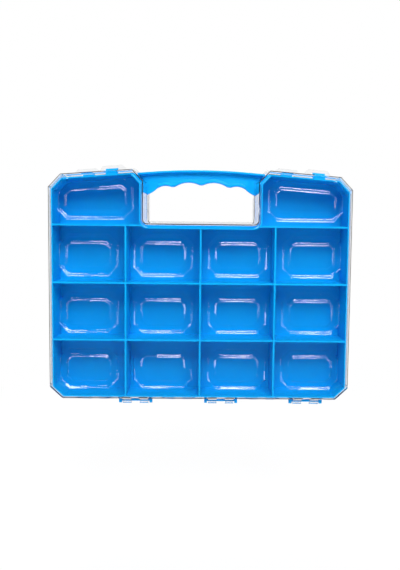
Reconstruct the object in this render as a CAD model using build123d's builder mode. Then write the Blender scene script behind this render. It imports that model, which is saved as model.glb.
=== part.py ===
"""Double-sided organizer box: a tray open on both faces, with a clear hinged cover on each.

Millimetres. X runs to the right, Y away from the front, Z up. The box stands upright, as when it is
carried. The origin is under its centre, level with the lowest point of the hinge hooks. The front
faces -Y, and the rear side is the front side turned half a turn about Z.
"""

import os
from math import atan2, cos, degrees, radians, tan

from build123d import *

os.makedirs("parts", exist_ok=True)

# Case, over the closed covers
case_width = 315.6
case_height = 240.6
case_depth = 80.0
bottom_corner_width = 13.0
bottom_corner_height = 12.2
top_corner_width = 12.6
top_corner_height = 13.4
ear_top_fall = 5.7

# Notch between the two ears, which holds the handle
notch_width = 120.0
notch_depth = 55.8
notch_corner_radius = 4.5
notch_level_tolerance = 0.1
ear_corner_width = 11.4
ear_corner_height = 11.9

# Tray, which sits a little low in the covers
tray_lowering = 1.1
wall_thickness = 1.2
floor_thickness = 2.4
divider_thickness = 1.8
divider_rim_gap = 0.3
column_pitch = 78.2
row_count = 3
row_pitch = 60.2
ear_divider_level = 182.8
belt_width = 15.8
belt_proud = 2.9

# Covers
panel_thickness = 1.5
skirt_thickness = 1.3
skirt_gap = 1.6
skirt_draft = 2.0
cover_belt_gap = 0.5
flange_width = 2.0
flange_thickness = 1.3
rim_chamfer = 0.8

# Embossed octagons on the covers, at the middle of their slopes
emboss_width = 60.1
emboss_height = 41.2
emboss_corner = 9.4
emboss_column_pitch = 77.6
emboss_row_pitch = 59.6
ear_emboss_side = 10.7
ear_emboss_top = 9.7
ear_emboss_bottom = 6.9
emboss_ring_width = 7.4
emboss_slope_width = 2.4
emboss_depth = 2.2

# Grooves across the covers' outer corners, from the bottom right one round to the bottom left one
groove_insets = (8.2, 7.1, 7.1, 10.4)
groove_length = 16.0
groove_bend = 2.6
groove_width = 1.8
groove_depth = 0.6

# Catches on the tray and finger tabs on the covers, along X as seen from the cover's own side
latch_places = (-94.8, 125.4)
catch_width = 13.0
catch_height = 7.0
catch_length = 4.5
catch_crest = 1.5
catch_ramp = 4.5
catch_setback = 20.5
slot_side_clearance = 0.6
slot_front_clearance = 1.0
slot_top_clearance = 0.8
tab_width = 27.3
tab_rise = 8.2
tab_corner = 3.5

# Hinges, with the brackets along X as seen from the cover's own side
bracket_count = 3
bracket_pitch = 93.9
bracket_shift = 23.5
bracket_width = 36.5
arm_thickness = 3.0
arm_radius = 3.3
arm_clearance = 1.0
rod_radius = 1.4
rod_drop = 9.0
rod_depth = 9.0
hook_clearance = 0.08
hook_radius = 3.9
hook_width = 9.5
hook_spacing = 18.6
hook_mouth = 2.3
hook_root = 5.5

# Handle
handle_rise = 2.7
handle_width = 15.0
handle_flange_thickness = 2.2
handle_web_thickness = 3.0
grip_width = 10.0
grip_thickness = 3.2
finger_pitch = 30.5
cusp_radius = 8.0
middle_cusp_drop = 14.0
side_cusp_drop = 16.4
inner_finger_drop = 10.3
outer_finger_drop = 14.0
finger_skew = 1.5
grip_end_drop = 16.8
grip_end_length = 47.9
foot_bend_drop = 21.7
foot_bend_length = 54.2
foot_drop = 24.4

# What follows from those
half_width = case_width / 2
half_depth = case_depth / 2
half_notch = notch_width / 2
half_belt = belt_width / 2
case_bottom = rod_drop + hook_radius
case_top = case_bottom + case_height
notch_floor = case_top - notch_depth
tray_bottom = case_bottom - tray_lowering
tray_top = case_top - tray_lowering
ear_corner_place = half_notch + ear_corner_width
tray_inset = skirt_thickness + skirt_gap
cavity_inset = tray_inset + wall_thickness
belt_inset = tray_inset - belt_proud
tray_rim = half_depth - panel_thickness - divider_rim_gap
floor_face = floor_thickness / 2
cover_edge = half_belt + cover_belt_gap
flare = (half_depth - cover_edge) * tan(radians(skirt_draft))
ear_slope = atan2(ear_top_fall, half_width - top_corner_width - half_notch - ear_corner_width)
column_lines = [column_pitch * i for i in (-1, 0, 1)]
row_lines = [case_bottom + ear_divider_level - row_pitch * i for i in range(row_count)]
bracket_places = [bracket_shift + bracket_pitch * (i - 1) for i in range(bracket_count)]
catch_top = catch_height - tray_inset
rod_height = hook_radius
arm_front = rod_depth + arm_radius
emboss_angle = degrees(atan2(emboss_slope_width, emboss_depth))


def front_plane(distance):
    """The upright plane that lies this far in front of the middle, and looks forwards."""
    return Plane.XZ.offset(distance)


def case_corners():
    """The case's corners seen from the front, anticlockwise from the bottom right."""
    right = [
        (half_width - bottom_corner_width, case_bottom),
        (half_width, case_bottom + bottom_corner_height),
        (half_width, case_top - ear_top_fall - top_corner_height),
        (half_width - top_corner_width, case_top - ear_top_fall),
        (half_notch + ear_corner_width, case_top),
        (half_notch, case_top - ear_corner_height),
        (half_notch, notch_floor),
    ]
    return right + mirrored(right)


def mirrored(points):
    """The same points on the other side of the middle, in reverse order."""
    return [(-x, z) for x, z in reversed(points)]


def grown(points, grow):
    """A polygon's corners, anticlockwise, after every side has moved out by grow."""
    moved = []
    for i, corner in enumerate(points):
        to_here = (Vector(*corner) - Vector(*points[i - 1])).normalized()
        onwards = (Vector(*points[(i + 1) % len(points)]) - Vector(*corner)).normalized()
        outwards = Vector(to_here.Y + onwards.Y, -to_here.X - onwards.X)
        shifted = Vector(*corner) + outwards * (grow / (1 + to_here.dot(onwards)))
        moved.append((shifted.X, shifted.Y))
    return moved


def outline(grow, lowering=0.0):
    """The case's outline, moved down by lowering and out by grow, with the notch's lower corners rounded."""
    with BuildSketch(mode=Mode.PRIVATE) as drawing:
        lowered = [(x, z - lowering) for x, z in grown(case_corners(), grow)]
        Polygon(*lowered, align=None)
        level = notch_floor - lowering + grow
        corners = drawing.vertices().filter_by_position(
            Axis.Y, level - notch_level_tolerance, level + notch_level_tolerance
        )
        fillet(corners, radius=notch_corner_radius - grow)
    return drawing.sketch


def tray_outline(inset):
    """The tray's outline, a distance inside the case's own."""
    return outline(-inset, tray_lowering)


def ear_top(x, inset=0.0):
    """Height of the sloping ear top at a place along X, a distance inside the case's outline."""
    run = abs(x) - half_notch - ear_corner_width
    return case_top - run * tan(ear_slope) - inset / cos(ear_slope)


def octagon(left, right, bottom, top_left, top_right):
    """A four-sided shape with its corners cut off. Its top may slope."""
    cut = emboss_corner
    fall = (top_left - top_right) / (right - left) * cut
    return [
        (left + cut, bottom),
        (right - cut, bottom),
        (right, bottom + cut),
        (right, top_right - cut),
        (right - cut, top_right + fall),
        (left + cut, top_left - fall),
        (left, top_left - cut),
        (left, bottom + cut),
    ]


def cell_octagons():
    """The octagon over each compartment of one side."""
    half_cell = emboss_width / 2
    shapes = []
    for row in range(row_count):
        centre = row_lines[-1] - row_pitch / 2 + row * emboss_row_pitch
        bottom = centre - emboss_height / 2
        top = centre + emboss_height / 2
        for x in (emboss_column_pitch / 2, emboss_column_pitch / 2 + emboss_column_pitch):
            shapes.append(octagon(x - half_cell, x + half_cell, bottom, top, top))
    left = half_notch + ear_emboss_side
    right = half_width - ear_emboss_side
    bottom = row_lines[0] + ear_emboss_bottom
    shapes.append(
        octagon(left, right, bottom, ear_top(left, ear_emboss_top), ear_top(right, ear_emboss_top))
    )
    return shapes + [mirrored(shape) for shape in shapes]


def emboss_rings():
    """The ring between the outer and the inner octagon of every compartment, at the level of the panel."""
    outer_edge = emboss_slope_width / 2
    inner_edge = -emboss_ring_width - emboss_slope_width / 2
    with BuildSketch(mode=Mode.PRIVATE) as drawing:
        for shape in cell_octagons():
            Polygon(*grown(shape, outer_edge), align=None)
            Polygon(*grown(shape, inner_edge), align=None, mode=Mode.SUBTRACT)
    return drawing.sketch


def corner_grooves():
    """The grooves across a cover's outer corners, as pairs of end points. Each has two bent ends."""
    corners = case_corners()
    grooves = []
    sides = (corners[0:2], corners[2:4], corners[-4:-2], corners[-2:])
    for (start, end), inset in zip(sides, groove_insets):
        along = (Vector(*end) - Vector(*start)).normalized()
        inwards = Vector(-along.Y, along.X)
        centre = (Vector(*start) + Vector(*end)) / 2 + inwards * inset
        first = centre - along * groove_length / 2
        last = centre + along * groove_length / 2
        grooves.append((first, last))
        grooves.append((first, first + (inwards - along).normalized() * groove_bend))
        grooves.append((last, last + (inwards + along).normalized() * groove_bend))
    return grooves


def along_notch_corner(edge):
    """Whether an edge of a cover runs back along a lower corner of the notch."""
    centre = edge.center()
    beside = abs(abs(centre.X) - half_notch) < tray_inset
    level = abs(centre.Z - notch_floor) < tray_inset
    return beside and level and edge.length > half_depth / 2


def rear(part):
    """The same piece for the rear side."""
    return part.rotate(Axis.Z, 180)


# Outer wall of the tray
with BuildPart() as tray_wall:
    with BuildSketch(front_plane(0)):
        add(tray_outline(tray_inset))
        add(tray_outline(cavity_inset), mode=Mode.SUBTRACT)
    extrude(amount=tray_rim, both=True)

tray_wall.part.label = "tray_wall"
export_step(tray_wall.part, "parts/tray_wall.step")

# Belt round the middle of the wall
with BuildPart() as tray_belt:
    with BuildSketch(front_plane(0)):
        add(tray_outline(belt_inset))
        add(tray_outline(tray_inset), mode=Mode.SUBTRACT)
    extrude(amount=half_belt, both=True)

tray_belt.part.label = "tray_belt"
export_step(tray_belt.part, "parts/tray_belt.step")

# Floor that both sides share
with BuildPart() as tray_floor:
    with BuildSketch(front_plane(0)):
        add(tray_outline(cavity_inset))
    extrude(amount=floor_face, both=True)

tray_floor.part.label = "tray_floor"
export_step(tray_floor.part, "parts/tray_floor.step")

# Divider grid of one side: columns up to the ears' divider, rows across the whole tray
with BuildPart() as front_dividers:
    with BuildSketch(front_plane(floor_face)):
        column_height = row_lines[0] - case_bottom
        for x in column_lines:
            with Locations((x, case_bottom + column_height / 2)):
                Rectangle(divider_thickness, column_height)
        for line in row_lines:
            with Locations((0, line)):
                Rectangle(case_width, divider_thickness)
        add(tray_outline(cavity_inset), mode=Mode.INTERSECT)
    extrude(amount=tray_rim - floor_face)

front_dividers.part.label = "front_dividers"
export_step(front_dividers.part, "parts/front_dividers.step")

with BuildPart() as rear_dividers:
    add(rear(front_dividers.part))

rear_dividers.part.label = "rear_dividers"
export_step(rear_dividers.part, "parts/rear_dividers.step")

# Catches on the ears that hold one cover shut, with a ramp on the side that the cover comes from
with BuildPart() as front_catches:
    with BuildSketch(front_plane(catch_setback - catch_length)):
        for x in latch_places:
            left = x - catch_width / 2
            right = x + catch_width / 2
            Polygon(
                (left, notch_floor),
                (right, notch_floor),
                (right, ear_top(right) + catch_top),
                (left, ear_top(left) + catch_top),
                align=None,
            )
        add(tray_outline(tray_inset), mode=Mode.SUBTRACT)
    extrude(amount=catch_length)
    for catch in front_catches.solids():
        ramp_edge = catch.faces().sort_by(Axis.Y)[0].edges().sort_by(Axis.Z)[-1]
        chamfer(ramp_edge, length=catch_length - catch_crest, length2=catch_ramp)

front_catches.part.label = "front_catches"
export_step(front_catches.part, "parts/front_catches.step")

with BuildPart() as rear_catches:
    add(rear(front_catches.part))

rear_catches.part.label = "rear_catches"
export_step(rear_catches.part, "parts/rear_catches.step")

# Hinge arms under the tray, two to a bracket, which hold the rods of one cover
with BuildPart() as front_hinge_arms:
    for place in bracket_places:
        for arm_end in (-1, 1):
            arm_centre = place + arm_end * (bracket_width - arm_thickness) / 2
            with BuildSketch(Plane.YZ.offset(arm_centre)):
                with Locations((-rod_depth, rod_height)):
                    Circle(arm_radius)
                Polygon(
                    (-rod_depth - arm_radius, rod_height),
                    (-rod_depth + arm_radius, rod_height),
                    (-rod_depth + arm_radius, tray_bottom + belt_inset),
                    (-half_belt, tray_bottom + belt_inset),
                    (-half_belt, tray_bottom + tray_inset),
                    (-rod_depth - arm_radius, tray_bottom + tray_inset),
                    align=None,
                )
            extrude(amount=arm_thickness / 2, both=True)

front_hinge_arms.part.label = "front_hinge_arms"
export_step(front_hinge_arms.part, "parts/front_hinge_arms.step")

with BuildPart() as rear_hinge_arms:
    add(rear(front_hinge_arms.part))

rear_hinge_arms.part.label = "rear_hinge_arms"
export_step(rear_hinge_arms.part, "parts/rear_hinge_arms.step")

# Rods between the arms, which the cover's hooks turn on
with BuildPart() as front_hinge_rods:
    for place in bracket_places:
        with BuildSketch(Plane.YZ.offset(place)):
            with Locations((-rod_depth, rod_height)):
                Circle(rod_radius)
        extrude(amount=bracket_width / 2 - arm_thickness, both=True)

front_hinge_rods.part.label = "front_hinge_rods"
export_step(front_hinge_rods.part, "parts/front_hinge_rods.step")

with BuildPart() as rear_hinge_rods:
    add(rear(front_hinge_rods.part))

rear_hinge_rods.part.label = "rear_hinge_rods"
export_step(rear_hinge_rods.part, "parts/rear_hinge_rods.step")


def grip_edge(lift):
    """Draws the handle's lower edge in the open line, from left to right, raised by lift."""
    level = case_top + lift
    middle = (0, level - middle_cusp_drop)
    for side in (-1, 1):
        cusp = (side * finger_pitch, level - side_cusp_drop)
        inner = (side * (finger_pitch - finger_skew) / 2, level - inner_finger_drop)
        outer = (side * (finger_pitch + grip_end_length) / 2, level - outer_finger_drop)
        end = (side * grip_end_length, level - grip_end_drop)
        ThreePointArc(middle, inner, cusp)
        ThreePointArc(cusp, outer, end)


def soften_cusps(drawing):
    """Rounds the cusps between the finger grooves."""
    fillet([corner for corner in drawing.vertices() if abs(corner.X) <= finger_pitch], radius=cusp_radius)


def handle_top(drop):
    """Draws the handle's arched top in the open line, lowered by drop, from ear corner to ear corner."""
    place = ear_corner_place - ear_corner_width * drop / ear_corner_height
    crown = (0, case_top + handle_rise - drop)
    ThreePointArc((-place, tray_top - drop), crown, (place, tray_top - drop))
    return place, tray_top - drop


# Handle across the notch: a web with an arched flange on top and a grip with four finger grooves
with BuildSketch(mode=Mode.PRIVATE) as web_profile:
    with BuildLine():
        place, level = handle_top(0)
        for side in (-1, 1):
            foot = (side * half_notch, case_top - foot_drop)
            bend = (side * foot_bend_length, case_top - foot_bend_drop)
            Polyline((side * place, level), (side * half_notch, level - ear_corner_height), foot)
            ThreePointArc(foot, bend, (side * grip_end_length, case_top - grip_end_drop))
        grip_edge(0)
    make_face()
    soften_cusps(web_profile)

with BuildSketch(mode=Mode.PRIVATE) as flange_profile:
    with BuildLine():
        place, level = handle_top(0)
        under_place, under_level = handle_top(handle_flange_thickness)
        for side in (-1, 1):
            Line((side * place, level), (side * under_place, under_level))
    make_face()

with BuildSketch(mode=Mode.PRIVATE) as grip_profile:
    with BuildLine():
        grip_edge(0)
        grip_edge(grip_thickness)
        level = case_top - grip_end_drop
        for x in (-grip_end_length, grip_end_length):
            Line((x, level), (x, level + grip_thickness))
    make_face()
    soften_cusps(grip_profile)

with BuildPart() as handle:
    for profile, thickness in (
        (web_profile, handle_web_thickness),
        (flange_profile, handle_width),
        (grip_profile, grip_width),
    ):
        with BuildSketch(front_plane(0)):
            add(profile.sketch)
        extrude(amount=thickness / 2, both=True)

handle.part.label = "handle"
export_step(handle.part, "parts/handle.step")

# Outside of a cover, and the hollow that its panel and skirt leave
with BuildPart() as lid_outside:
    with BuildSketch(front_plane(half_depth)):
        Polygon(*case_corners(), align=None)
    with BuildSketch(front_plane(cover_edge)):
        Polygon(*grown(case_corners(), flare), align=None)
    loft(ruled=True)
    fillet(lid_outside.edges().filter_by(along_notch_corner), radius=notch_corner_radius)
    chamfer(lid_outside.faces().sort_by(Axis.Y)[0].edges(), length=rim_chamfer)

with BuildPart() as lid_hollow:
    with BuildSketch(front_plane(half_depth - panel_thickness)):
        Polygon(*grown(case_corners(), -skirt_thickness), align=None)
    with BuildSketch(front_plane(cover_edge)):
        Polygon(*grown(case_corners(), flare - skirt_thickness), align=None)
    loft(ruled=True)
    fillet(lid_hollow.edges().filter_by(along_notch_corner), radius=notch_corner_radius + skirt_thickness)

# Front cover
with BuildPart() as front_lid:
    add(lid_outside.part)
    add(lid_hollow.part, mode=Mode.SUBTRACT)
    # Flange round the skirt's edge
    with BuildSketch(front_plane(cover_edge)):
        add(outline(flare + flange_width))
        add(outline(flare - skirt_thickness / 2), mode=Mode.SUBTRACT)
    extrude(amount=flange_thickness)
    # Octagonal channels, with the same wall under them
    with BuildSketch(front_plane(half_depth - panel_thickness)):
        add(emboss_rings())
    extrude(amount=-emboss_depth, taper=emboss_angle)
    with BuildSketch(front_plane(half_depth)):
        add(emboss_rings())
    extrude(amount=-emboss_depth, taper=emboss_angle, mode=Mode.SUBTRACT)
    # Grooves across the outer corners
    with BuildSketch(front_plane(half_depth)):
        for first, last in corner_grooves():
            along = last - first
            centre = (first + last) / 2
            with Locations((centre.X, centre.Y)):
                SlotCenterToCenter(along.length, groove_width, rotation=degrees(atan2(along.Y, along.X)))
    extrude(amount=-groove_depth, mode=Mode.SUBTRACT)
    # Finger tabs that stand up from the flange
    with BuildSketch(front_plane(cover_edge)):
        for x in latch_places:
            left = x - tab_width / 2
            right = x + tab_width / 2
            Polygon(
                (left, ear_top(left)),
                (right, ear_top(right)),
                (right, ear_top(right) + tab_rise - tab_corner),
                (right - tab_corner, ear_top(right - tab_corner) + tab_rise),
                (left + tab_corner, ear_top(left + tab_corner) + tab_rise),
                (left, ear_top(left) + tab_rise - tab_corner),
                align=None,
            )
    extrude(amount=flange_thickness)
    # Slots that let the catches through the skirt and the tabs
    with BuildSketch(front_plane(cover_edge)):
        for x in latch_places:
            left = x - catch_width / 2 - slot_side_clearance
            right = x + catch_width / 2 + slot_side_clearance
            slot_top = catch_top + slot_top_clearance
            Polygon(
                (left, ear_top(left, tray_inset)),
                (right, ear_top(right, tray_inset)),
                (right, ear_top(right) + slot_top),
                (left, ear_top(left) + slot_top),
                align=None,
            )
    extrude(amount=catch_setback + slot_front_clearance - cover_edge, mode=Mode.SUBTRACT)
    # Cut-outs in the lower skirt for the tray's hinge arms
    with BuildSketch(front_plane(cover_edge)):
        for place in bracket_places:
            with Locations((place, case_bottom)):
                Rectangle(bracket_width + 2 * arm_clearance, 2 * tray_inset + 2 * flange_width)
    extrude(amount=arm_front + arm_clearance - cover_edge, mode=Mode.SUBTRACT)
    # Hooks that grip the hinge rods, with their mouths to the rear
    for place in bracket_places:
        for hook_end in (-1, 1):
            with BuildSketch(Plane.YZ.offset(place + hook_end * hook_spacing / 2)):
                with Locations((-rod_depth, rod_height)):
                    Circle(hook_radius)
                root = arm_front + arm_clearance
                Polygon(
                    (-rod_depth - hook_radius, rod_height),
                    (-rod_depth, rod_height),
                    (-rod_depth, rod_height + hook_radius),
                    (-root, case_bottom),
                    (-root - hook_root, case_bottom),
                    align=None,
                )
                with Locations((-rod_depth, rod_height)):
                    Circle(rod_radius + hook_clearance, mode=Mode.SUBTRACT)
                    Rectangle(
                        2 * hook_radius, hook_mouth, align=(Align.MIN, Align.CENTER), mode=Mode.SUBTRACT
                    )
            extrude(amount=hook_width / 2, both=True)

front_lid.part.label = "front_lid"
export_step(front_lid.part, "parts/front_lid.step")

# Rear cover, the same moulding turned half a turn
with BuildPart() as rear_lid:
    add(rear(front_lid.part))

rear_lid.part.label = "rear_lid"
export_step(rear_lid.part, "parts/rear_lid.step")
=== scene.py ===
# %% [markdown]
# # A double-sided organizer box
#
# The box is a flat case for small parts. A blue tray is open on both faces, and a clear cover is hinged
# over each face. This script dresses the measured model with rounded edges, plastics, light and a camera.
# Everything is in metres, with X to the right, Y away from the front and Z up.

# %% Load the measured model
import math

import bmesh
import bpy
import numpy as np
from mathutils import Matrix, Vector
from mathutils.geometry import tessellate_polygon


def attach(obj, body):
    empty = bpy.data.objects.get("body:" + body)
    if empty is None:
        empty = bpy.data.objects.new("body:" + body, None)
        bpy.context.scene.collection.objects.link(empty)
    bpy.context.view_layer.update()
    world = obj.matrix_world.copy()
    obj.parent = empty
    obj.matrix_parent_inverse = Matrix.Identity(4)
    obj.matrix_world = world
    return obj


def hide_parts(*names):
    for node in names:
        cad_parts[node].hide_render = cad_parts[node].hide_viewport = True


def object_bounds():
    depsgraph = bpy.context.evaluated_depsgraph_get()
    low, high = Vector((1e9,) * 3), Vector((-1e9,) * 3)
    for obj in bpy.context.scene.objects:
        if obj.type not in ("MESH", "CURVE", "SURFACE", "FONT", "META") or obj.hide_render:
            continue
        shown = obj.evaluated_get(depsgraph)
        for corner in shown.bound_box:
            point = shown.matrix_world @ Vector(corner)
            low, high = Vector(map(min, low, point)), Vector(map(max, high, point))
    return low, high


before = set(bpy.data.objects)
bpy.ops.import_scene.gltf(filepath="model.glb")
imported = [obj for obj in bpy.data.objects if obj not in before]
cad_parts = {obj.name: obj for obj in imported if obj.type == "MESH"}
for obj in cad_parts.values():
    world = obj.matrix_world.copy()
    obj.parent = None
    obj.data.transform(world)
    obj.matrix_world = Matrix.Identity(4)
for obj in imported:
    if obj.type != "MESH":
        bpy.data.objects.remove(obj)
cad_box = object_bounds()
MM = 0.001
scene = bpy.context.scene
print("CAD box in mm:", [[round(v / MM, 1) for v in corner] for corner in cad_box])

# %% [markdown]
# ## Plastics
#
# Injection-moulded polypropylene is satin and very even, but never a single flat colour. The melt leaves
# faint cloudy streaks, and the mould's fine texture breaks up the gloss. Both effects are made in one node
# group with named numbers. The blue plastic uses it, and another moulding could, with its own numbers.

# %% A node group for moulded surfaces
CLOUD_DETAIL = 3
GRAIN_DETAIL = 1
GRAIN_HEIGHT = 0.02 * MM


def new_group(name, inputs, outputs):
    """A node group with named sockets: (name, socket type, default) for each input and (name, type) out."""
    group = bpy.data.node_groups.new(name, "ShaderNodeTree")
    for label, kind, default in inputs:
        socket = group.interface.new_socket(label, in_out="INPUT", socket_type=kind)
        socket.default_value = default
    for label, kind in outputs:
        group.interface.new_socket(label, in_out="OUTPUT", socket_type=kind)
    return group, group.nodes.new("NodeGroupInput"), group.nodes.new("NodeGroupOutput")


def moulded_surface():
    """Cloudy colour, uneven gloss and a fine grain, all noise on Object coordinates."""
    group, given, made = new_group(
        "moulded_surface",
        [
            ("Colour", "NodeSocketColor", (0.5, 0.5, 0.5, 1)),
            ("Cloud size per m", "NodeSocketFloat", 30),
            ("Cloud strength", "NodeSocketFloat", 0.06),
            ("Roughness", "NodeSocketFloat", 0.4),
            ("Gloss variation", "NodeSocketFloat", 0.1),
            ("Grain size per m", "NodeSocketFloat", 2500),
            ("Grain strength", "NodeSocketFloat", 0.05),
        ],
        [("Colour", "NodeSocketColor"), ("Roughness", "NodeSocketFloat"), ("Normal", "NodeSocketVector")],
    )
    nodes, link = group.nodes, group.links.new
    place = nodes.new("ShaderNodeTexCoord").outputs["Object"]

    clouds = nodes.new("ShaderNodeTexNoise")
    clouds.inputs["Detail"].default_value = CLOUD_DETAIL
    link(place, clouds.inputs["Vector"])
    link(given.outputs["Cloud size per m"], clouds.inputs["Scale"])

    # value = 1 + strength * (noise - 0.5) * 2
    centred = nodes.new("ShaderNodeMath")
    centred.operation = "MULTIPLY_ADD"
    centred.inputs[1].default_value = 2
    centred.inputs[2].default_value = -1
    link(clouds.outputs["Fac"], centred.inputs[0])
    value = nodes.new("ShaderNodeMath")
    value.operation = "MULTIPLY_ADD"
    value.inputs[2].default_value = 1
    link(centred.outputs[0], value.inputs[0])
    link(given.outputs["Cloud strength"], value.inputs[1])
    tint = nodes.new("ShaderNodeHueSaturation")
    link(given.outputs["Colour"], tint.inputs["Color"])
    link(value.outputs[0], tint.inputs["Value"])
    link(tint.outputs["Color"], made.inputs["Colour"])

    gloss = nodes.new("ShaderNodeMath")
    gloss.operation = "MULTIPLY_ADD"
    link(centred.outputs[0], gloss.inputs[0])
    link(given.outputs["Gloss variation"], gloss.inputs[1])
    link(given.outputs["Roughness"], gloss.inputs[2])
    link(gloss.outputs[0], made.inputs["Roughness"])

    grain = nodes.new("ShaderNodeTexNoise")
    grain.inputs["Detail"].default_value = GRAIN_DETAIL
    link(place, grain.inputs["Vector"])
    link(given.outputs["Grain size per m"], grain.inputs["Scale"])
    bump = nodes.new("ShaderNodeBump")
    bump.inputs["Distance"].default_value = GRAIN_HEIGHT
    link(given.outputs["Grain strength"], bump.inputs["Strength"])
    link(grain.outputs["Fac"], bump.inputs["Height"])
    link(bump.outputs["Normal"], made.inputs["Normal"])
    return group


MOULDED = moulded_surface()
print("node group:", MOULDED.name, "with", len(MOULDED.nodes), "nodes")

# %% [markdown]
# ## Blue plastic
#
# The tray and its handle are one satin blue moulding. A texture picture could hold the colour, but it would
# need a seam somewhere. The node group's noise has none, so the material is made from that alone.

# %% Blue tray plastic
BLUE_COLOUR = (0.0, 0.36, 0.79, 1)
BLUE_ROUGHNESS = 0.42
BLUE_SPECULAR_LEVEL = 0.12
POLYPROPYLENE_IOR = 1.49


def new_material(name):
    """An empty node material and its output node."""
    material = bpy.data.materials.new(name)
    material.use_nodes = True
    material.node_tree.nodes.clear()
    return material, material.node_tree.nodes.new("ShaderNodeOutputMaterial")


def blue_plastic():
    """Satin blue polypropylene, as the tray and its handle are moulded in."""
    material, output = new_material("blue_polypropylene")
    nodes, link = material.node_tree.nodes, material.node_tree.links.new
    surface = nodes.new("ShaderNodeGroup")
    surface.node_tree = MOULDED
    surface.inputs["Colour"].default_value = BLUE_COLOUR
    surface.inputs["Roughness"].default_value = BLUE_ROUGHNESS
    shader = nodes.new("ShaderNodeBsdfPrincipled")
    shader.inputs["Specular IOR Level"].default_value = BLUE_SPECULAR_LEVEL
    shader.inputs["IOR"].default_value = POLYPROPYLENE_IOR
    link(surface.outputs["Colour"], shader.inputs["Base Color"])
    link(surface.outputs["Roughness"], shader.inputs["Roughness"])
    link(surface.outputs["Normal"], shader.inputs["Normal"])
    link(shader.outputs[0], output.inputs["Surface"])
    return material


BLUE = blue_plastic()
print("material:", BLUE.name, "roughness", BLUE_ROUGHNESS)

# %% [markdown]
# ## Clear plastic
#
# The covers are clear polystyrene. Real glass shading bends the view at every slope, which draws the fine
# lines of the embossing. Lamps would cast black shadows through such glass, so for shadow and diffuse rays
# the same surface is plainly transparent, and the tray behind it stays as bright as it should be.


# %% Clear cover plastic
FACE_TINT = (0.99, 0.995, 1.0, 1)
EDGE_TINT = (0.88, 0.89, 0.95, 1)
EDGE_TINT_START = 0.55
FACING_BLEND = 0.5
POLYSTYRENE_IOR = 1.59
CLEAR_ROUGHNESS = 0.0


def clear_plastic():
    """Polystyrene: glass for what is seen, and transparent for the light that falls through it."""
    material, output = new_material("clear_polystyrene")
    nodes, link = material.node_tree.nodes, material.node_tree.links.new
    shader = nodes.new("ShaderNodeBsdfPrincipled")
    shader.inputs["Transmission Weight"].default_value = 1
    shader.inputs["IOR"].default_value = POLYSTYRENE_IOR
    shader.inputs["Roughness"].default_value = CLEAR_ROUGHNESS
    facing = nodes.new("ShaderNodeLayerWeight")
    facing.inputs["Blend"].default_value = FACING_BLEND
    tint = nodes.new("ShaderNodeValToRGB")
    for stop, (place, colour) in zip(
        (tint.color_ramp.elements[0], tint.color_ramp.elements[1]),
        ((EDGE_TINT_START, FACE_TINT), (1.0, EDGE_TINT)),
    ):
        stop.position = place
        stop.color = colour
    link(facing.outputs["Facing"], tint.inputs["Fac"])
    link(tint.outputs["Color"], shader.inputs["Base Color"])
    clear = nodes.new("ShaderNodeBsdfTransparent")
    path = nodes.new("ShaderNodeLightPath")
    lighting = nodes.new("ShaderNodeMath")
    lighting.operation = "MAXIMUM"
    link(path.outputs["Is Shadow Ray"], lighting.inputs[0])
    link(path.outputs["Is Diffuse Ray"], lighting.inputs[1])
    mix = nodes.new("ShaderNodeMixShader")
    link(lighting.outputs[0], mix.inputs["Fac"])
    link(shader.outputs[0], mix.inputs[1])
    link(clear.outputs[0], mix.inputs[2])
    link(mix.outputs[0], output.inputs["Surface"])
    return material


CLEAR = clear_plastic()
print("material:", CLEAR.name, "index", POLYSTYRENE_IOR)

# %% [markdown]
# ## Tray
#
# The measured tray already has the right shape, so it only needs its plastic. The handle is what a hand
# holds, and the small radius on its edges is what catches the light. Modifiers add that radius and leave
# the measured mesh alone.

# %% Tray plastic, and rounded edges on the handle
HANDLE_EDGE_RADIUS = 0.6 * MM
EDGE_STEPS = 2
MERGE_DISTANCE = 0.001 * MM
COPLANAR = math.radians(1)
ROUNDED_FROM = math.radians(40)


def round_edges(piece, radius):
    """Merges a measured mesh, joins its flat triangles and rounds its edges, all by modifiers."""
    weld = piece.modifiers.new("merge", "WELD")
    weld.merge_threshold = MERGE_DISTANCE
    flat = piece.modifiers.new("join_flat_faces", "DECIMATE")
    flat.decimate_type = "DISSOLVE"
    flat.angle_limit = COPLANAR
    bevel = piece.modifiers.new("edge_radius", "BEVEL")
    bevel.width = radius
    bevel.segments = EDGE_STEPS
    bevel.limit_method = "ANGLE"
    bevel.angle_limit = ROUNDED_FROM
    bevel.harden_normals = True
    for polygon in piece.data.polygons:
        polygon.use_smooth = True


TRAY_NODES = [name for name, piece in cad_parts.items() if not name.endswith("_lid")]
for name in TRAY_NODES:
    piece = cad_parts[name]
    piece.data.materials.clear()
    piece.data.materials.append(BLUE)
round_edges(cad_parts["handle"], HANDLE_EDGE_RADIUS)
print("tray pieces:", len(TRAY_NODES), "with the handle's edges rounded")

# %% [markdown]
# ## Covers
#
# Each cover is one clear moulding. What the eye reads on clear plastic is not its surface but its edges:
# every bend in the sheet is a thin mirror for the soft box. The embossed octagons have generous radii, one
# at the top and one at the foot of each slope, and either can catch a bright line. A bevel on the measured
# mesh would be held back by its long thin triangles, so the embossing is worked out anew from its profile.

# %% Profiles of the embossed channel and the corner groove
PANEL_FACE = 40.0
PANEL_WALL = 1.5
EMBOSS_DEPTH = 2.2
SLOPE_WIDTH = 2.4
CHANNEL_WIDTH = 9.8
FILLET_RADIUS = 2.6
FILLET_STEPS = 8
GROOVE_DEPTH = 0.6
GROOVE_LEVEL = round(PANEL_FACE - GROOVE_DEPTH, 2)
GROOVE_SIDE = 0.5


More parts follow.
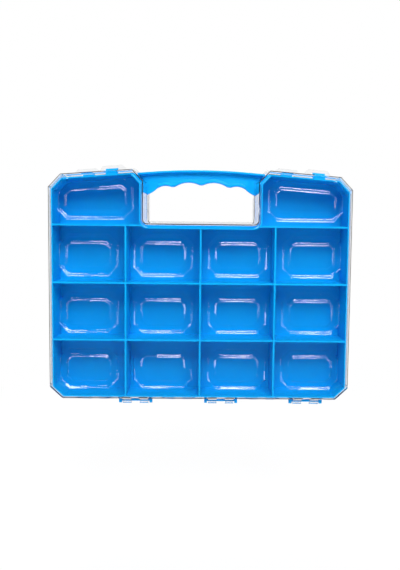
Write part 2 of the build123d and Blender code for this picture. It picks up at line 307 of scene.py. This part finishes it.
def emboss_profile():
    """Way in from the octagon's edge and depth, in mm, across one channel.

    Each slope is a straight line between two arcs that touch it. On an arc of radius r that turns by the
    angle a, the way is r sin(a) and the depth r (1 - cos(a)) from where it leaves the flat. The second
    slope is the first one mirrored at the channel's middle.
    """
    slope = math.atan2(EMBOSS_DEPTH, SLOPE_WIDTH)
    reach = FILLET_RADIUS * math.tan(slope / 2)
    turn = np.linspace(0, slope, FILLET_STEPS)
    way = FILLET_RADIUS * np.sin(turn) - reach
    depth = FILLET_RADIUS * (1 - np.cos(turn))
    down_way = np.concatenate([way, (SLOPE_WIDTH - way)[::-1]])
    down_depth = np.concatenate([depth, (EMBOSS_DEPTH - depth)[::-1]])
    return (
        np.concatenate([down_way, (CHANNEL_WIDTH - down_way)[::-1]]),
        np.concatenate([down_depth, down_depth[::-1]]),
    )


def groove_profile():
    """Way in and depth, in mm, down one side of a groove: depth = full depth (1 - cos(pi way / side)) / 2."""
    way = np.linspace(0, GROOVE_SIDE, FILLET_STEPS)
    return way, GROOVE_DEPTH * (1 - np.cos(np.pi * way / GROOVE_SIDE)) / 2


CHANNEL = emboss_profile()
GROOVE = groove_profile()
print("profile points:", len(CHANNEL[0]), "deepest in mm:", CHANNEL[1].max())

# %% [markdown]
# ## Finding the embossing
#
# The octagons' corners could be typed in as a list, but the list would be wrong as soon as the measured
# cover changed. They are found on the cover instead: an octagon starts at a closed loop of edges, where a
# wall leaves the flat face for the level of the channel's floor.

# %% Loops of edges on a measured cover
OCTAGON_SPACING = 20.0


def cover_level(vertex):
    """Distance of a vertex from the box's middle plane, in mm."""
    return round(abs(vertex.co.y) / MM, 2)


def loops(edges):
    """Closed chains of the given edges, each as an array of its corners in mm across X and Z."""
    beside = {}
    for edge in edges:
        for vertex in edge.verts:
            beside.setdefault(vertex, []).append(edge.other_vert(vertex))
    found = []
    while beside:
        chain = [next(iter(beside))]
        while True:
            following = [v for v in beside.pop(chain[-1]) if v in beside]
            if not following:
                break
            chain.append(following[0])
        found.append(np.array([(v.co.x, v.co.z) for v in chain]) / MM)
    return found


def signed_area(corners):
    """Half the sum of the cross products of neighbouring corners, positive for an anticlockwise loop."""
    onwards = np.roll(corners, -1, axis=0)
    return 0.5 * np.sum(corners[:, 0] * onwards[:, 1] - corners[:, 1] * onwards[:, 0])


def anticlockwise(corners):
    """The same loop, turned anticlockwise."""
    return corners if signed_area(corners) > 0 else corners[::-1]


def outermost(octagons):
    """Of the loops that share a middle, the largest one."""
    largest = {}
    for corners in octagons:
        middle = tuple(np.round((corners.min(axis=0) + corners.max(axis=0)) / 2 / OCTAGON_SPACING))
        kept = largest.get(middle)
        if kept is None or abs(signed_area(corners)) > abs(signed_area(kept)):
            largest[middle] = corners
    return [anticlockwise(corners) for corners in largest.values()]


def rims_at(work, face, sunk):
    """Edges at one level that a wall down to the other level starts from."""
    return [
        edge
        for edge in work.edges
        if cover_level(edge.verts[0]) == cover_level(edge.verts[1]) == face
        and any({cover_level(vertex) for vertex in side.verts} == {face, sunk} for side in edge.link_faces)
    ]


# %% [markdown]
# ## Rounded rings
#
# A channel is its profile carried round an octagon. A curve with a bevel could sweep it too, but the sweep
# wouldn't join the sheet round it. So each point of the profile becomes a ring, whose corners move in along
# their mitres. The first and the last ring lie on the rims of the flat sheets beside them.


# %% Embossed rings and the flat sheet round them
def inward_mitres(corners):
    """How far each corner moves when both its sides move in by one: their normals' sum over 1 + cos."""
    along = np.roll(corners, -1, axis=0) - corners
    along /= np.linalg.norm(along, axis=1, keepdims=True)
    normal = np.stack([-along[:, 1], along[:, 0]], axis=1)
    before = np.roll(normal, 1, axis=0)
    return (normal + before) / (1 + np.sum(normal * before, axis=1, keepdims=True))


def sunk_rings(corners, profile, face):
    """Rings inside an outline: place = corner + way * mitre across, and face - depth in Y."""
    way, depth = profile
    across = corners[None] + way[:, None, None] * inward_mitres(corners)[None]
    level = np.broadcast_to((face - depth)[:, None], across.shape[:2])
    points = np.stack([across[..., 0], -level, across[..., 1]], axis=2)
    count = len(corners)
    ring, corner = np.meshgrid(np.arange(len(way) - 1), np.arange(count), indexing="ij")
    here, beside = ring * count + corner, ring * count + (corner + 1) % count
    quads = np.stack([here, beside, beside + count, here + count], axis=-1).reshape(-1, 4)
    return points.reshape(-1, 3), quads


def flat_sheet(outlines, face):
    """A flat sheet with holes, from its outer and inner outlines."""
    points = np.concatenate(outlines)
    rims = [[Vector((x, z, 0)) for x, z in outline] for outline in outlines]
    triangles = tessellate_polygon(rims)
    return np.stack([points[:, 0], np.full(len(points), -face), points[:, 1]], axis=1), np.array(triangles)


def add_surface(work, points, faces, turn):
    """Adds points in mm and faces to a bmesh, with Y times turn. Returns the new faces."""
    piece = bpy.data.meshes.new("surface")
    piece.from_pydata((points * (MM, turn * MM, MM)).tolist(), [], faces.tolist())
    count = len(work.faces)
    work.from_mesh(piece)
    bpy.data.meshes.remove(piece)
    work.faces.ensure_lookup_table()
    return work.faces[count:]


# %% A new panel with rounded channels and grooves
def without_sheet(work, face):
    """Takes the panel's old sheet out at one level. Returns its octagons, grooves and outer borders."""
    channel_level = round(face - EMBOSS_DEPTH, 2)
    outside = face == PANEL_FACE
    octagons = outermost(loops(rims_at(work, face, channel_level)))
    grooves = loops(rims_at(work, face, GROOVE_LEVEL)) if outside else []
    sunk_levels = [channel_level] + [GROOVE_LEVEL] * outside
    sheet = [
        side
        for side in work.faces
        if any({cover_level(vertex) for vertex in side.verts} <= {face, level} for level in sunk_levels)
    ]
    bmesh.ops.delete(work, geom=sheet, context="FACES")
    rim = [edge for edge in work.edges if edge.is_boundary and cover_level(edge.verts[0]) == face]
    return octagons, grooves, loops(rim)


def add_panel(work, face, turn, octagons, grooves, borders):
    """Adds the new sheet at one level. Channel faces are marked by their material index."""
    starts = []
    profiles = [(corners, CHANNEL) for corners in octagons]
    profiles += [(anticlockwise(corners), GROOVE) for corners in grooves]
    for corners, profile in profiles:
        points, quads = sunk_rings(corners, profile, face)
        for quad in add_surface(work, points, quads, turn):
            quad.material_index = int(profile is CHANNEL)
        starts.append(points[: len(corners), [0, 2]])
        floor_level = face - profile[1][-1]
        add_surface(work, *flat_sheet([points[-len(corners) :, [0, 2]]], floor_level), turn)
    add_surface(work, *flat_sheet(borders + starts, face), turn)


# %% Covers with rounded embossing
SHARP = math.radians(32)
FLAT = 0.99999
SEAM_DISTANCE = 0.002 * MM


def mark_edges(work):
    """Keeps mitres, edges beside flat faces and steep bends crisp, and shades the rest smoothly."""
    for edge in work.edges:
        beside_flat = any(abs(side.normal.y) > FLAT for side in edge.link_faces)
        channel = all(side.material_index for side in edge.link_faces)
        mitre = channel and cover_level(edge.verts[0]) != cover_level(edge.verts[1])
        edge.smooth = not (edge.calc_face_angle(math.pi) > SHARP or mitre or beside_flat)
    for side in work.faces:
        side.smooth = True
        side.material_index = 0


def embossed_cover(node, body, turn):
    """A measured cover whose panel gives way to a new one with rounded channels on both its faces."""
    work = bmesh.new()
    work.from_mesh(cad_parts[node].data)
    bmesh.ops.remove_doubles(work, verts=work.verts, dist=MERGE_DISTANCE)
    bmesh.ops.dissolve_limit(work, angle_limit=COPLANAR, verts=work.verts, edges=work.edges)
    for face in (PANEL_FACE, PANEL_FACE - PANEL_WALL):
        octagons, grooves, borders = without_sheet(work, face)
        add_panel(work, face, turn, octagons, grooves, borders)
        counts = {"octagons": len(octagons), "grooves": len(grooves), "borders": len(borders)}
        print(node, "at", face, counts)
    bmesh.ops.remove_doubles(work, verts=work.verts, dist=SEAM_DISTANCE)
    bmesh.ops.recalc_face_normals(work, faces=work.faces)
    mark_edges(work)
    print(node, "faces:", len(work.faces), "open edges:", sum(not edge.is_manifold for edge in work.edges))
    mesh = bpy.data.meshes.new(node + "_embossed")
    work.to_mesh(mesh)
    work.free()
    mesh.materials.append(CLEAR)
    cover = bpy.data.objects.new(node + "_embossed", mesh)
    scene.collection.objects.link(cover)
    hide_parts(node)
    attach(cover, body)


embossed_cover("front_lid", "front_lid", 1)
embossed_cover("rear_lid", "rear_lid", -1)

# %% [markdown]
# ## Camera
#
# The photograph was taken from a little above the middle of the box, almost square to its front. The lens
# is given in pixels of the photograph, because that is what was measured, and the sensor turns it into mm.

# %% Camera at the photograph's place
PHOTO_LONG_SIDE = 570
FOCAL_LENGTH_IN_PIXELS = 644.7
VIEW_SHIFT_IN_PIXELS = -16
SENSOR_WIDTH = 36
NEAREST, FARTHEST = 0.01, 20
CAMERA_PLACE = Vector((3.9, -712, 189.6)) * MM
CAMERA_YAW, CAMERA_PITCH, CAMERA_ROLL = (math.radians(angle) for angle in (1.07, -4.69, 0.62))
camera_data = bpy.data.cameras.new("camera")
camera = bpy.data.objects.new("camera", camera_data)
scene.collection.objects.link(camera)
scene.camera = camera
camera_data.sensor_fit = "AUTO"
camera_data.sensor_width = SENSOR_WIDTH
camera_data.lens = SENSOR_WIDTH * FOCAL_LENGTH_IN_PIXELS / PHOTO_LONG_SIDE
camera_data.shift_x = VIEW_SHIFT_IN_PIXELS / PHOTO_LONG_SIDE
camera_data.clip_start = NEAREST
camera_data.clip_end = FARTHEST
camera.matrix_world = (
    Matrix.Translation(CAMERA_PLACE)
    @ Matrix.Rotation(-CAMERA_YAW, 4, "Z")
    @ Matrix.Rotation(math.radians(90) + CAMERA_PITCH, 4, "X")
    @ Matrix.Rotation(CAMERA_ROLL, 4, "Z")
)
print("lens in mm:", round(camera_data.lens, 1))

# %% [markdown]
# ## Lamps
#
# One soft box in front and above draws the bright lines on the slopes that face up. Two narrow strips do
# the same for the upright slopes. A second soft box lights the rear, and is hidden from the camera.

# %% Lamps
MIDDLE = (0, 0, 0.13)
KEY_PLACE = (0.15, -1.05, 1.1)
REAR_PLACE = (-0.15, 1.05, 1.1)
LEFT_PLACE = (-1.2, -0.5, 0.3)
RIGHT_PLACE = (1.2, -0.5, 0.3)
BOX_SIZE = (1.0, 0.7)
BOX_POWER = 26
STRIP_SIZE = (0.16, 0.9)
STRIP_POWER = 3


def area_light(name, place, size, power):
    """A soft box aimed at the middle: place in metres, size across and down, power in watts."""
    data = bpy.data.lights.new(name, "AREA")
    data.shape = "RECTANGLE"
    data.size, data.size_y = size
    data.energy = power
    light = bpy.data.objects.new(name, data)
    light.matrix_world = Matrix.Translation(place) @ (
        (Vector(MIDDLE) - Vector(place)).to_track_quat("-Z", "Y").to_matrix().to_4x4()
    )
    scene.collection.objects.link(light)
    return light


area_light("key_box", KEY_PLACE, BOX_SIZE, BOX_POWER)
area_light("left_strip", LEFT_PLACE, STRIP_SIZE, STRIP_POWER)
area_light("right_strip", RIGHT_PLACE, STRIP_SIZE, STRIP_POWER)
rear_box = area_light("rear_box", REAR_PLACE, BOX_SIZE, BOX_POWER)
rear_box.visible_camera = False
rear_box.visible_transmission = False
print("lamps:", len(bpy.data.lights))

# %% [markdown]
# ## Background
#
# The background is white where it is seen plainly or through the covers. In a reflection it is white behind
# the box, less bright well to its sides, and dark in front, or the front's flat panels would mirror it and
# go milky. A ray's bounces are counted in whole numbers, so a count is compared with one half.

# %% Helpers for shader nodes
BOUNCED = 0.5


def node_maths(nodes, link, operation, first, second):
    """A Math node on two sockets or numbers. Returns its output."""
    node = nodes.new("ShaderNodeMath")
    node.operation = operation
    for socket, value in zip(node.inputs, (first, second)):
        if isinstance(value, bpy.types.NodeSocket):
            link(value, socket)
        else:
            socket.default_value = value
    return node.outputs[0]


def map_range(nodes, link, value, start, end, low, high, steps="LINEAR"):
    """A change from low to high while value goes from start to end. Returns its output."""
    node = nodes.new("ShaderNodeMapRange")
    node.interpolation_type = steps
    for socket, number in zip(("From Min", "From Max", "To Min", "To Max"), (start, end, low, high)):
        node.inputs[socket].default_value = number
    link(value, node.inputs["Value"])
    return node.outputs[0]


def ray_kinds(nodes, link, path):
    """From a Light Path's outputs: 1 where seen plainly or through clear plastic, and 1 where reflected."""
    bounces = node_maths(nodes, link, "ADD", path["Glossy Depth"], path["Diffuse Depth"])
    unbounced = node_maths(nodes, link, "LESS_THAN", bounces, BOUNCED)
    through = node_maths(nodes, link, "MULTIPLY", path["Is Transmission Ray"], unbounced)
    plain = node_maths(nodes, link, "MAXIMUM", path["Is Camera Ray"], through)
    reflected = node_maths(nodes, link, "MAXIMUM", path["Is Glossy Ray"], path["Is Transmission Ray"])
    return plain, reflected


# %% White background
DARK_LEVEL, WHITE_LEVEL = 0.01, 1.0
BEHIND_START, BEHIND_END = -0.5, -0.1
SIDE_START, SIDE_END, SIDE_LEVEL = 0.8, 0.95, 0.6
WHITE = (1, 1, 1, 1)

world = bpy.data.worlds.new("white_studio")
scene.world = world
world.use_nodes = True
world.node_tree.nodes.clear()
nodes, link = world.node_tree.nodes, world.node_tree.links.new
plain, reflected = ray_kinds(nodes, link, nodes.new("ShaderNodeLightPath").outputs)
direction = nodes.new("ShaderNodeSeparateXYZ")
link(nodes.new("ShaderNodeTexCoord").outputs["Generated"], direction.inputs[0])
sideways = node_maths(nodes, link, "ABSOLUTE", direction.outputs["X"], 0.0)
behind = map_range(nodes, link, direction.outputs["Y"], BEHIND_START, BEHIND_END, 0, 1)
beside = map_range(nodes, link, sideways, SIDE_START, SIDE_END, 0, SIDE_LEVEL)
around = node_maths(nodes, link, "MAXIMUM", behind, beside)
mirrored_around = node_maths(nodes, link, "MULTIPLY", reflected, around)
white = node_maths(nodes, link, "MAXIMUM", plain, mirrored_around)
background = nodes.new("ShaderNodeBackground")
background.inputs["Color"].default_value = WHITE
link(map_range(nodes, link, white, 0, 1, DARK_LEVEL, WHITE_LEVEL), background.inputs["Strength"])
world_output = nodes.new("ShaderNodeOutputWorld")
link(background.outputs[0], world_output.inputs["Surface"])
print("background nodes:", len(nodes))

# %% [markdown]
# ## White paper
#
# The floor is a sheet of white paper. Lamps could light it, but hardly as evenly as the background. So it
# glows where it is seen, more with distance, and runs into the background with no line between them. Only
# in front of the box is it dark in a reflection, for the same reason as the background.

# %% White paper
PAPER_COLOUR = (0.9, 0.9, 0.9, 1)
DARK_COLOUR = (0.02, 0.02, 0.02, 1)
# places in metres from the floor's middle
FRONT_START, FRONT_END = 0.0, -0.08
GLOW_START, GLOW_END = 0.2, 0.7
GLOW_NEAR, GLOW_FAR = 0.93, 1.0


def mix_shaders(nodes, link, share, first, second):
    """A Mix Shader node between two shader nodes. Returns it."""
    mix = nodes.new("ShaderNodeMixShader")
    link(share, mix.inputs["Fac"])
    link(first.outputs[0], mix.inputs[1])
    link(second.outputs[0], mix.inputs[2])
    return mix


def white_paper():
    """White paper that glows where it is seen, and is dark where the front panel would mirror it."""
    paper, output = new_material("white_paper")
    nodes, link = paper.node_tree.nodes, paper.node_tree.links.new
    place = nodes.new("ShaderNodeTexCoord").outputs["Object"]
    along = nodes.new("ShaderNodeSeparateXYZ")
    link(place, along.inputs[0])
    distance = nodes.new("ShaderNodeVectorMath")
    distance.operation = "LENGTH"
    link(place, distance.inputs[0])
    diffuse = nodes.new("ShaderNodeBsdfDiffuse")
    diffuse.inputs["Color"].default_value = PAPER_COLOUR
    dark = nodes.new("ShaderNodeBsdfDiffuse")
    dark.inputs["Color"].default_value = DARK_COLOUR
    glow = nodes.new("ShaderNodeEmission")
    path = nodes.new("ShaderNodeLightPath").outputs
    plain, reflected = ray_kinds(nodes, link, path)
    in_front = map_range(nodes, link, along.outputs["Y"], FRONT_START, FRONT_END, 0, 1, "SMOOTHSTEP")
    elsewhere = node_maths(nodes, link, "SUBTRACT", 1.0, in_front)
    mirrored_elsewhere = node_maths(nodes, link, "MULTIPLY", reflected, elsewhere)
    seen = node_maths(nodes, link, "MAXIMUM", plain, mirrored_elsewhere)
    away = distance.outputs["Value"]
    gain = map_range(nodes, link, away, GLOW_START, GLOW_END, GLOW_NEAR, GLOW_FAR, "SMOOTHSTEP")
    share = node_maths(nodes, link, "MULTIPLY", seen, gain)
    off_gloss = node_maths(nodes, link, "GREATER_THAN", path["Glossy Depth"], BOUNCED)
    hidden = node_maths(nodes, link, "MULTIPLY", in_front, off_gloss)
    bare = mix_shaders(nodes, link, hidden, diffuse, dark)
    link(mix_shaders(nodes, link, share, bare, glow).outputs[0], output.inputs["Surface"])
    return paper


PAPER = white_paper()
print("material:", PAPER.name, "with", len(PAPER.node_tree.nodes), "nodes")

# %% [markdown]
# ## Floor
#
# A cover that swings open hangs well below the box, and a floor level with the hinges would hide it. So
# the floor lies below the lowest place that an open cover reaches, and the box is shown as if held.

# %% Floor
OPEN_COVER_REACH = 130 * MM
FLOOR_SIZE = 6
bpy.ops.mesh.primitive_plane_add(size=FLOOR_SIZE, location=(0, 0, cad_box[0].z - OPEN_COVER_REACH))
floor = bpy.context.object
floor.name = "floor"
floor.data.materials.append(PAPER)
scene.view_settings.view_transform = "Standard"
print("floor below the hinges in mm:", round(OPEN_COVER_REACH / MM))
